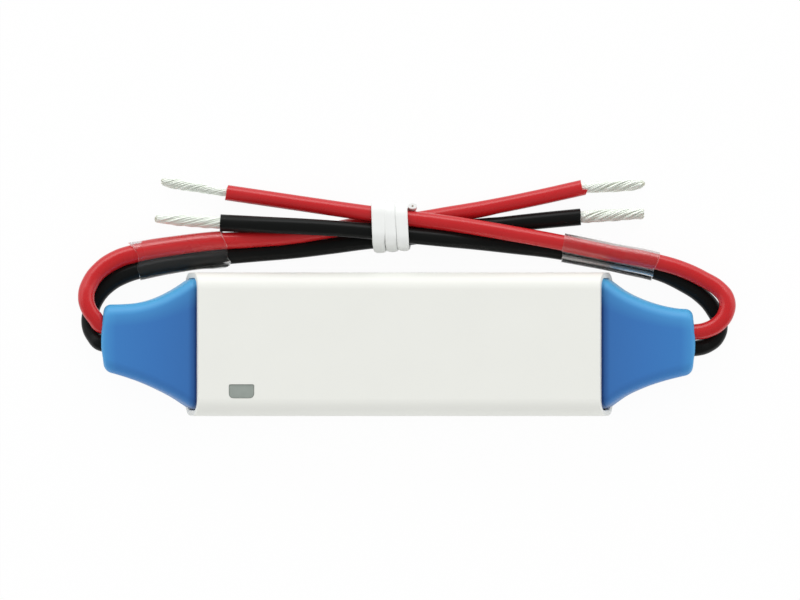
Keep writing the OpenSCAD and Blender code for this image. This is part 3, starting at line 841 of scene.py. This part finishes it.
def window_pane(height):
    middle = Vector((window_x, window_y))
    return min(flat_top(height), key=lambda f: (f.calc_center_median().xy - middle).length)


bm.normal_update()
for height in (shell_height, ceiling):
    for side in (-1, 1):
        cut_across(bm, (window_x + side * window_length / 2, 0, 0), (1, 0, 0), flat_top(height))
        cut_across(bm, (0, window_y + side * window_width / 2, 0), (0, 1, 0), flat_top(height))
    for side, radius in window_corners:
        rounded(bm, corner_verts(height, side), radius, 6, affect="VERTICES")
panes = [window_pane(shell_height), window_pane(ceiling)]
outer_outline = list(panes[0].edges)
bmesh.ops.delete(bm, geom=panes, context="FACES_ONLY")
bmesh.ops.translate(bm, vec=(0, 0, -wall), verts=drawn_out(bm, outer_outline))
bmesh.ops.remove_doubles(bm, verts=bm.verts, dist=2 * tiny)
report("with its opening", bm)

# %% Slanted ends and broken edges
for v in bm.verts:
    if abs(v.co.x) > half_length - tiny:
        v.co.x -= math.copysign(rake_slope * v.co.z, v.co.x)
bmesh.ops.recalc_face_normals(bm, faces=bm.faces)


def between_faces(e, test):
    """Whether an edge parts a face that passes a test from one that doesn't."""
    return len(e.link_faces) == 2 and test(e.link_faces[0]) != test(e.link_faces[1])


sawn = [e for e in bm.edges if between_faces(e, lambda f: abs(f.normal.x) > 0.8
                                             and abs(f.calc_center_median().x) > 0.8 * half_length)]
rounded(bm, sawn, 0.16 * MM, 3, clamp_overlap=True)
brim = [e for e in bm.edges if min(v.co.z for v in e.verts) > shell_height - tiny
        and max(abs(v.co.x - window_x) for v in e.verts) < 0.51 * window_length
        and between_faces(e, lambda f: f.normal.z > 0.9)]
rounded(bm, brim, 0.06 * MM, 2, clamp_overlap=True)
tube = make_piece(bm, "tube", "shell", crease=35)
even = tube.modifiers.new("even_shading", "WEIGHTED_NORMAL")
even.keep_sharp = True

# %% [markdown]
# ## The light guide
#
# The grey pane in the corner of the top is the light guide over the status LED. It fills its
# opening, lies a hair below the top, and has softly broken edges.

# %% Model the light guide
pane_bottom, pane_top = [corner_point.z for corner_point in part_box("indicator_window")]
fit_gap = 0.03 * MM

bm = bmesh.new()
block(bm, (window_length - 2 * fit_gap, window_width - 2 * fit_gap, pane_top - pane_bottom),
      (window_x, window_y, (pane_top + pane_bottom) / 2))
for side, radius in window_corners:
    upright = [e for e in bm.edges
               if abs(e.verts[0].co.z - e.verts[1].co.z) > 1 * MM
               and (e.verts[0].co.y - window_y) * side > 0.9 * window_width / 2 - fit_gap]
    rounded(bm, upright, radius - fit_gap, 6)
brim = [e for e in bm.edges if min(v.co.z for v in e.verts) > pane_top - tiny]
rounded(bm, brim, 0.09 * MM, 3)
light_guide = make_piece(bm, "light_guide", "indicator_window", crease=50)

# %% [markdown]
# ## The strain reliefs
#
# Each end of the tube is closed by a soft blue moulding. Its plug fills the tube's mouth, and
# outside it the section narrows in a hollow flare to the blunt end that grips the two leads.
# The leads pull it to one side, so its two edges bend differently. Both edges were measured at
# six even steps, and a smooth curve goes through them.
#
# It starts as a rounded bar like the tube's. Planes that lean with the slanted mouth, and then
# less and less, cut it into slices, and others cut it lengthwise. Every vertex is then carried
# from its place on the bar to its place on the flare. The last 1.3 mm are drawn in on a
# quarter circle, which rounds the blunt end, and a narrow groove at the mouth leaves the thin
# dark line that shows all round. Painted shade in the colour at the mouth darkens that line
# further.

# %% How a vertex moves from the bar to the flare
plug_x = 27.2 * MM
end_height, end_z = 4.9 * MM, 4.0 * MM
end_corner = 2.1 * MM
seat_gap = 0.02 * MM
cavity_half = shell_width / 2 - wall - seat_gap
cavity_low, cavity_high = wall + seat_gap, shell_height - wall - seat_gap
cavity_corner = corner - wall - seat_gap
groove_depth, groove_reach = 0.2 * MM, 0.22 * MM
end_round_long, end_round_side, end_round_top = 1.3 * MM, 1.1 * MM, 0.9 * MM
end_dome, dome_from = 0.32 * MM, 0.7
# The reach along the tube, then the far and the near edge at even steps from the mouth
flares = {
    "left": (45.62, [10.15, 8.4, 7.08, 6.34, 6.12, 6.1], [10.0, 8.22, 6.83, 5.67, 4.78, 4.1]),
    "right": (45.36, [10.1, 8.18, 6.9, 6.03, 5.5, 5.38], [9.9, 8.02, 6.76, 5.82, 5.12, 4.58]),
}


def smooth_list(values, share):
    """The value at a share from 0 to 1 of a smooth curve through an evenly spaced list."""
    padded = [2 * values[0] - values[1]] + values + [2 * values[-1] - values[-2]]
    at = share * (len(values) - 1)
    low = min(int(at), len(values) - 2)
    t = at - low
    a, b, c, d = padded[low:low + 4]
    return b + t * ((c - a) + t * ((2 * a - 5 * b + 4 * c - d) + t * (3 * (b - c) + d - a))) / 2


def remap(value, old_half, old_corner, new_half, new_corner):
    """Carries a place across one rounded section to the same place across another."""
    flat = old_half - old_corner
    if abs(value) <= flat:
        return value / flat * (new_half - new_corner)
    round_part = (abs(value) - flat) / old_corner
    return math.copysign(new_half - new_corner + round_part * new_corner, value)


def flare(v, reach, far_edge, near_edge, layer):
    """Moves a vertex of the straight bar to its place on the strain relief."""
    z_middle, half_z = (cavity_high + cavity_low) / 2, (cavity_high - cavity_low) / 2
    start = half_length - rake_slope * v.co.z
    out = max(0.0, min(1.0, (v.co.x - start) / (reach - start)))
    eased = 1 - (1 - out) ** 2
    top = mix(cavity_high, end_z + end_height / 2, eased)
    low = mix(cavity_low, end_z - end_height / 2, eased)
    edge = far_edge if v.co.y > 0 else near_edge
    side = min(cavity_half, smooth_list(edge, out) * MM)
    from_end = min(1.0, max(0.0, 1 - (reach - v.co.x) / end_round_long))
    drawn_in = 1 - math.sqrt(1 - from_end ** 2)
    groove = groove_depth * bump_at(v.co.x, start + 0.5 * groove_reach, groove_reach)
    section_corner = mix(cavity_corner, end_corner, out) - end_round_top * drawn_in
    v[layer] = (out, v.co.y / cavity_half, (v.co.z - z_middle) / half_z)
    past_dome = max(0.0, (out - dome_from) / (1 - dome_from))
    v.co.x -= end_dome * (v.co.y / cavity_half) ** 2 * past_dome ** 2
    v.co.y = remap(v.co.y, cavity_half, cavity_corner,
                   side - end_round_side * drawn_in - groove, section_corner)
    v.co.z = ((top + low) / 2
              + remap(v.co.z - z_middle, half_z, cavity_corner,
                      (top - low) / 2 - end_round_top * drawn_in - groove, section_corner))


# %% Model the strain reliefs
slices = 24
# Where planes cut it: past the mouth and back from the end in millimetres, and shares across
mouth_cuts = (-0.9, -0.3, -0.15, -0.05, 0.05, 0.12, 0.2, 0.3, 0.45)
end_cuts = (1.3, 1.0, 0.75, 0.52, 0.34, 0.2, 0.1, 0.03)
lengthwise_cuts = (-0.66, -0.44, -0.22, 0, 0.22, 0.44, 0.66)


def make_relief(name):
    reach, far_edge, near_edge = flares[name]
    reach *= MM
    bm = bmesh.new()
    rounded_bar(bm, reach - plug_x, 2 * cavity_half, cavity_high - cavity_low,
                cavity_corner, cavity_low)
    bmesh.ops.translate(bm, vec=((reach + plug_x) / 2, 0, 0), verts=bm.verts)
    for offset in mouth_cuts:
        cut_across(bm, (half_length + offset * MM, 0, 0), (1, 0, rake_slope))
    for i in range(1, slices):
        share = i / slices
        base = mix(half_length + 0.6 * MM, reach - end_round_long, share)
        cut_across(bm, (base, 0, 0), (1, 0, rake_slope * (1 - share)))
    for back in end_cuts:
        cut_across(bm, (reach - back * MM, 0, 0), (1, 0, 0))
    for share in lengthwise_cuts:
        cut_across(bm, (0, share * cavity_half, 0), (0, 1, 0))
    layer = bm.verts.layers.float_vector.new("flare")
    for v in bm.verts:
        flare(v, reach, far_edge, near_edge, layer)
    if name == "left":
        bmesh.ops.scale(bm, vec=(-1, 1, 1), verts=bm.verts)
    return make_piece(bm, f"{name}_flare", f"{name}_strain_relief")


reliefs = [make_relief(name) for name in flares]

# %% [markdown]
# ## Material helpers
#
# Every finish is made of nodes that read the mesh's own coordinates, so that it stays in place
# from any side. Each input of a node holds a plain value or a link from another node's output,
# and one helper fills both kinds. Two effects are used again and again and become node groups:
# a fine moulded grain, and the streaks that extrusion leaves along a wire.

# %% Helpers that build materials
def linear(red, green, blue):
    """A colour given as it looks on a screen, from 0 to 255, as Blender's linear values."""
    shares = [value / 255 for value in (red, green, blue)]
    return (*(s / 12.92 if s <= 0.04045 else ((s + 0.055) / 1.055) ** 2.4 for s in shares), 1)


def fill(tree, node, inputs):
    """Gives each of a node's inputs a value, or a link from another node's output."""
    for label, value in inputs.items():
        if isinstance(value, bpy.types.NodeSocket):
            tree.links.new(value, node.inputs[label])
        else:
            node.inputs[label].default_value = value


def add(tree, kind, inputs=None, **settings):
    """Adds a node with its settings and inputs, and returns its outputs."""
    node = tree.nodes.new("ShaderNode" + kind)
    for setting, value in settings.items():
        setattr(node, setting, value)
    fill(tree, node, inputs or {})
    return node.outputs


def combined(tree, operation, first, second):
    return add(tree, "Math", {0: first, 1: second}, operation=operation)["Value"]


def two_tone(tree, mask, dark, light):
    """Mixes two colours by a mask."""
    return add(tree, "Mix", {"Factor": mask, "A": dark, "B": light}, data_type="RGBA")["Result"]


def spread(tree, value, low, high):
    """Takes a value from 0 to 1 to another range."""
    return add(tree, "MapRange", {"Value": value, "To Min": low, "To Max": high})["Result"]


def bump(tree, height, strength, distance):
    return add(tree, "Bump", {"Height": height, "Strength": strength,
                              "Distance": distance})["Normal"]


def kept_on_mesh(tree, layer):
    """The vector that a layer of the mesh keeps at each vertex, and its three parts."""
    vector = add(tree, "Attribute", attribute_name=layer)["Vector"]
    return vector, add(tree, "SeparateXYZ", {"Vector": vector})


# %% Helpers for materials and node groups
def new_material(name):
    """A material. Returns it with its node tree and its shader."""
    print("material", name)
    material = bpy.data.materials.new(name)
    material.use_nodes = True
    tree = material.node_tree
    return material, tree, tree.nodes["Principled BSDF"]


def show_mix(tree, factor, first, second):
    """Shows a mix of two shaders."""
    mixed = add(tree, "MixShader", {"Fac": factor, 1: first, 2: second})["Shader"]
    fill(tree, tree.nodes["Material Output"], {"Surface": mixed})


def new_group(name, sizes, outputs):
    """A node group that takes coordinates and named sizes and puts out values from 0 to 1.
    Returns it with what comes in at its start and the node at its end."""
    group = bpy.data.node_groups.new(name, "ShaderNodeTree")
    group.interface.new_socket("Vector", in_out="INPUT", socket_type="NodeSocketVector")
    for label, value in sizes.items():
        socket = group.interface.new_socket(label, in_out="INPUT", socket_type="NodeSocketFloat")
        socket.default_value = value
    for label in outputs:
        group.interface.new_socket(label, in_out="OUTPUT", socket_type="NodeSocketFloat")
    return group, group.nodes.new("NodeGroupInput").outputs, group.nodes.new("NodeGroupOutput")


def place_group(tree, group, vector, **sizes):
    """Places a node group with its own coordinates and sizes, and returns its outputs."""
    node = tree.nodes.new("ShaderNodeGroup")
    node.node_tree = group
    fill(tree, node, {"Vector": vector, **sizes})
    return node.outputs


# %% The two effects, as node groups
def noise(group, vector, scale, detail):
    return add(group, "TexNoise", {"Vector": vector, "Scale": scale, "Detail": detail})["Fac"]


grain, given, made = new_group("moulded_grain", {"Fine": 9000.0, "Broad": 120.0},
                               ("Tone", "Height"))
fill(grain, made, {"Tone": noise(grain, given["Vector"], given["Broad"], 3),
                   "Height": noise(grain, given["Vector"], given["Fine"], 2)})

streaks, given, made = new_group("extrusion_streaks", {"Across": 2500.0, "Along": 60.0},
                                 ("Streak", "Cloud"))
axes = add(streaks, "SeparateXYZ", {"Vector": given["Vector"]})
scaled = {axis: combined(streaks, "MULTIPLY", axes[axis], given[label])
          for axis, label in (("X", "Along"), ("Y", "Across"), ("Z", "Across"))}
stretched = add(streaks, "CombineXYZ", scaled)["Vector"]
fill(streaks, made, {"Streak": noise(streaks, stretched, 1, 3),
                     "Cloud": noise(streaks, given["Vector"], 220, 2)})


def grained(tree, fine, broad):
    return place_group(tree, grain, add(tree, "TexCoord")["Object"], Fine=fine, Broad=broad)


def streaked(tree, **sizes):
    return place_group(tree, streaks, kept_on_mesh(tree, "straight")[0], **sizes)


print("node groups:", [group.name for group in bpy.data.node_groups])


# %% [markdown]
# ## Moulded and extruded plastics
#
# The white tube, the light guide and the chips are moulded: a colour with a slight drift, a
# roughness that changes a little, and a grain too fine to see as more than a soft sheen. The
# leads' insulation and the tie's coat came out of a nozzle, so their pattern runs along the
# straightened piece.

# %% A moulded plastic, and one that is streaked along its length
def moulded(name, dark, light, rough, grain_height=0.02, fine=9000.0, broad=120.0):
    material, tree, shader = new_material(name)
    texture = grained(tree, fine, broad)
    fill(tree, shader, {
        "Base Color": two_tone(tree, texture["Tone"], dark, light),
        "Roughness": spread(tree, texture["Tone"], rough - 0.05, rough + 0.05),
        "Normal": bump(tree, texture["Height"], 0.35, grain_height * MM)})
    return material


def insulation(name, dark, light, rough, gloss):
    material, tree, shader = new_material(name)
    texture = streaked(tree)
    fill(tree, shader, {
        "Base Color": two_tone(tree, texture["Streak"], dark, light),
        "Roughness": spread(tree, texture["Cloud"], rough - 0.06, rough + 0.06),
        "Normal": bump(tree, texture["Streak"], 0.25, 0.02 * MM),
        "Specular IOR Level": gloss})
    return material


white_moulding = moulded("white_moulding", linear(237, 238, 232), linear(240, 241, 235), 0.42)
tube.data.materials.append(white_moulding)
red_skin = insulation("red_insulation", linear(191, 27, 32), linear(199, 34, 38), 0.28, 0.5)
black_skin = insulation("black_insulation", linear(20, 21, 21), linear(26, 27, 26), 0.3, 0.12)
for name, lead in leads.items():
    lead.data.materials.append(red_skin if "red" in name else black_skin)
tie_white = insulation("tie_white", linear(238, 240, 238), linear(242, 244, 242), 0.46, 0.4)
tie_coat.data.materials.append(tie_white)
guide_grey = moulded("guide_grey", linear(148, 156, 150), linear(158, 166, 160), 0.22,
                     grain_height=0.01, broad=900.0)
light_guide.data.materials.append(guide_grey)

# %% [markdown]
# ## The soft blue moulding
#
# The strain reliefs are of soft, slightly milky plastic. Their colour carries painted light and
# shade. The side towards the lamp and the blunt end are painted lighter and greener, standing in
# for light that gets into the plastic and comes out near the edges. Near the tube they are painted
# darker, standing in for the shade of the plug behind and of the groove at the mouth. The mesh
# carries the place on the flare as an attribute: how far out, how far to the side, and how high.
# Masks made from it mix the tones.

# %% The strain reliefs' material
def colour_ramp(tree, value, stops):
    """A colour that changes with a value from 0 to 1, through the given stops."""
    node = tree.nodes.new("ShaderNodeValToRGB")
    elements = node.color_ramp.elements
    for element, (position, colour) in zip(elements, (stops[0], stops[-1])):
        element.position, element.color = position, colour
    for position, colour in stops[1:-1]:
        elements.new(position).color = colour
    fill(tree, node, {"Fac": value})
    return node.outputs["Color"]


blue, tree, shader = new_material("soft_blue_moulding")
place = kept_on_mesh(tree, "flare")[1]
# Painted shade and light along the flare: darkest at the mouth, where the plug and the groove shade
# it, and lighter at the thin blunt end, where light comes through
tone_painted_light_and_shade = colour_ramp(tree, place["X"], [
    (0.0, linear(14, 40, 104)), (0.02, linear(32, 84, 152)), (0.09, linear(50, 111, 181)),
    (0.45, linear(52, 117, 189)), (0.84, linear(55, 124, 195)), (0.95, linear(64, 141, 206)),
    (1.0, linear(74, 160, 216))])
sideways = add(tree, "MapRange", {"Value": place["Y"], "From Min": -1})["Result"]
# Painted light: the side towards the lamp is painted much lighter, and the near edge a little
# lighter
painted_light_levels = [(0.0, 0.16), (0.05, 0.0), (0.78, 0.0), (0.93, 0.3), (1.0, 1.0)]
painted_lamp_side_light = colour_ramp(tree, sideways, [(side, (level, level, level, 1)) for side, level in painted_light_levels])
texture = grained(tree, 4500.0, 90.0)
fill(tree, shader, {
    "Base Color": two_tone(tree, painted_lamp_side_light, tone_painted_light_and_shade, linear(82, 172, 222)),
    "Roughness": spread(tree, texture["Tone"], 0.36, 0.46),
    "Normal": bump(tree, texture["Height"], 0.2, 0.02 * MM),
    "Specular IOR Level": 0.35})
for relief in reliefs:
    relief.data.materials.append(blue)

# %% [markdown]
# ## Clear film
#
# The sleeves are real film here: a thin wall that light goes through and that reflects at both
# of its faces. A little roughness makes it soft plastic and not glass. Light that falls on the
# leads goes straight through, which Light Path's shadow and diffuse rays see to. The film's
# slight grey is painted shade: it darkens the leads seen through it, for the light that the film
# keeps off them. Where the film was cut, the edge is torn and scatters light, so it shows as a
# thin whitish line. Over the valley between the leads, and on the right along the black lead, a
# whitish layer is painted reflection: it stands for the film's reflection of the bright side.

# %% The film's three materials
clear_film, tree, shader = new_material("clear_film")
texture = streaked(tree, Across=900.0, Along=120.0)
# The film's slight grey is painted shade: it darkens the leads seen through it, for the light that
# the film keeps off them
fill(tree, shader, {
    "Base Color": linear(236, 238, 238), "Transmission Weight": 1, "IOR": 1.47,
    "Roughness": spread(tree, texture["Cloud"], 0.14, 0.26),
    "Normal": bump(tree, texture["Streak"], 0.3, 0.03 * MM)})
rays = add(tree, "LightPath")
lets_light_in = combined(tree, "MAXIMUM", rays["Is Shadow Ray"], rays["Is Diffuse Ray"])
show_mix(tree, lets_light_in, shader.outputs["BSDF"], add(tree, "BsdfTransparent")["BSDF"])

cut_film = moulded("cut_film", linear(236, 238, 238), linear(246, 247, 247), 0.6, fine=5000.0,
                   broad=1500.0)
cut_film.node_tree.nodes["Principled BSDF"].inputs["Alpha"].default_value = 0.45

# Painted reflection: a whitish layer whose alpha follows the veil layer, standing for the film's
# reflection of the bright side
film_painted_reflection = moulded("film_painted_reflection", linear(226, 229, 229), linear(246, 247, 247), 0.36,
                       fine=5000.0, broad=900.0)
tree = film_painted_reflection.node_tree
veil = kept_on_mesh(tree, "veil")[1]["X"]
fill(tree, tree.nodes["Principled BSDF"], {"Alpha": spread(tree, veil, 0, 0.3)})
for sleeve in sleeves.values():
    for material in (clear_film, cut_film, film_painted_reflection):
        sleeve.data.materials.append(material)

# %% [markdown]
# ## Metals and the small parts
#
# The strands are tinned copper: pale and rough, with painted shade that darkens them between
# the strands and inside the bundle. The tie's wire is plain steel. The parts on the board never
# show, but each still gets the finish of its own kind.

# %% Tinned copper, steel and solder
def metal(name, dark, light, rough, shine):
    material, tree, shader = new_material(name)
    texture = grained(tree, 2500.0, 900.0)
    fill(tree, shader, {
        "Base Color": two_tone(tree, texture["Tone"], dark, light),
        "Roughness": spread(tree, texture["Height"], rough - 0.08, rough + 0.1),
        "Normal": bump(tree, texture["Height"], 0.4, 0.03 * MM), "Metallic": shine})
    return material


tinned = metal("tinned_copper", linear(222, 221, 211), linear(250, 250, 244), 0.34, 0.5)
solder = metal("bright_solder", linear(196, 198, 200), linear(226, 228, 230), 0.24, 0.9)
steel = metal("drawn_steel", linear(186, 166, 152), linear(200, 182, 170), 0.5, 0.4)
tie_wire.data.materials.append(steel)

strand_metal = metal("tinned_strands", linear(238, 245, 234), linear(248, 253, 246), 0.38, 0.4)
tree = strand_metal.node_tree
shader = tree.nodes["Principled BSDF"]
surface = shader.inputs["Base Color"].links[0].from_socket
# Painted shade: the inner strands, where shade falls between them, get a darker tone
from_middle = kept_on_mesh(tree, "bundle")[1]["Y"]
painted_inner_shade = add(tree, "MapRange", {"Value": from_middle, "From Min": 0.6, "From Max": 0.94})["Result"]
fill(tree, shader, {"Base Color": two_tone(tree, painted_inner_shade, linear(214, 218, 200), surface)})
for bundle in strands.values():
    bundle.data.materials.append(strand_metal)

# %% Finishes for the parts inside
inside = {
    "circuit_board": moulded("solder_mask", linear(26, 96, 58), linear(34, 110, 66), 0.3),
    "status_led": moulded("pale_resin", linear(240, 228, 190), linear(248, 240, 210), 0.3),
    "storage_capacitor": moulded("yellow_epoxy", linear(206, 158, 52), linear(218, 172, 66), 0.5),
    "chip_capacitors": moulded("fired_ceramic", linear(176, 146, 108), linear(192, 162, 124), 0.6),
    "solder_joints": solder,
}
black_epoxy = moulded("black_epoxy", linear(34, 34, 36), linear(42, 42, 44), 0.55)
for node_name in ("microcontroller", "power_transistor", "voltage_regulator",
                  "protection_diode", "chip_resistors"):
    inside[node_name] = black_epoxy
for name in lines:
    inside[f"{name}_soldered_end"] = tinned
for node_name, material in inside.items():
    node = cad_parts[node_name]
    node.data.materials.clear()
    node.data.materials.append(material)
print("finished", len(inside), "nodes inside the tube")

# %% [markdown]
# ## The table and the light
#
# The table is white and shows as white to the camera, in reflections and through the film,
# while it takes light and shadow for everything else like any white surface. A small share of
# that shows to the camera too, which keeps the object's shadow.
#
# The light comes from a tent that is almost even, a little brighter low down on the side that
# the leads are bent to, where one large soft lamp stands. Shiny surfaces show more of that
# difference than matt ones do: overhead, where the camera looks through its hole, and on the
# near side the tent is dark. The world's strength is therefore mixed from two, and Light Path's
# glossy ray chooses between them.

# %% The table
table_reach = 3
shown_white = 0.95

bm = bmesh.new()
bmesh.ops.create_grid(bm, x_segments=1, y_segments=1, size=table_reach)
table_top = object_of(bm, "table_top")

table_white, tree, shader = new_material("table_white")
fill(tree, shader, {"Base Color": (0.95, 0.95, 0.95, 1), "Roughness": 0.9,
                    "Specular IOR Level": 0.1})
rays = add(tree, "LightPath")
seen = combined(tree, "MAXIMUM", rays["Is Camera Ray"], rays["Is Glossy Ray"])
seen = combined(tree, "MAXIMUM", seen, rays["Is Transmission Ray"])
share_white = combined(tree, "MULTIPLY", seen, shown_white)
show_mix(tree, share_white, shader.outputs["BSDF"], add(tree, "Emission")["Emission"])
table_top.data.materials.append(table_white)

# %% The light tent
world = bpy.data.worlds.new("light_tent")
world.use_nodes = True
bpy.context.scene.world = world
tree = world.node_tree
axes = add(tree, "SeparateXYZ", {"Vector": add(tree, "TexCoord")["Generated"]})


def smooth_step(value, low, high, at_low, at_high):
    """A soft change from one level to another between two values."""
    return add(tree, "MapRange", {"Value": value, "From Min": low, "From Max": high,
                                  "To Min": at_low, "To Max": at_high},
               interpolation_type="SMOOTHSTEP")["Result"]


low_down = smooth_step(axes["Z"], 0.42, 0.7, 1, 0)
far_side = smooth_step(axes["Y"], -0.4, 0.7, 0, 1)
bright = combined(tree, "MULTIPLY", low_down, far_side)
matt = spread(tree, bright, 0.84, 1.29)
shiny = spread(tree, bright, 0.06, 1.7)
glossy = add(tree, "LightPath")["Is Glossy Ray"]
strength = add(tree, "Mix", {"Factor": glossy, "A": matt, "B": shiny})["Result"]
fill(tree, tree.nodes["Background"], {"Color": (1, 1, 1, 1), "Strength": strength})
print("the tent has", len(tree.nodes), "nodes")

# %% The lamp
lamp_elevation = math.radians(24)
lamp_distance = 1.0
away = Vector((0, math.cos(lamp_elevation), math.sin(lamp_elevation)))

softbox = bpy.data.lights.new("key", "AREA")
softbox.shape = "RECTANGLE"
softbox.size, softbox.size_y = 1.0, 0.4
softbox.energy = 2.5
lamp = in_scene("key", softbox)
lamp.location = view_middle + away * lamp_distance
lamp.rotation_euler = away.to_track_quat("Z", "Y").to_euler()
bpy.context.scene.view_settings.view_transform = "Standard"
print("the lamp stands at", [round(c, 2) for c in lamp.location], "m")

# %% Bring the scene up to date
bpy.context.view_layer.update()
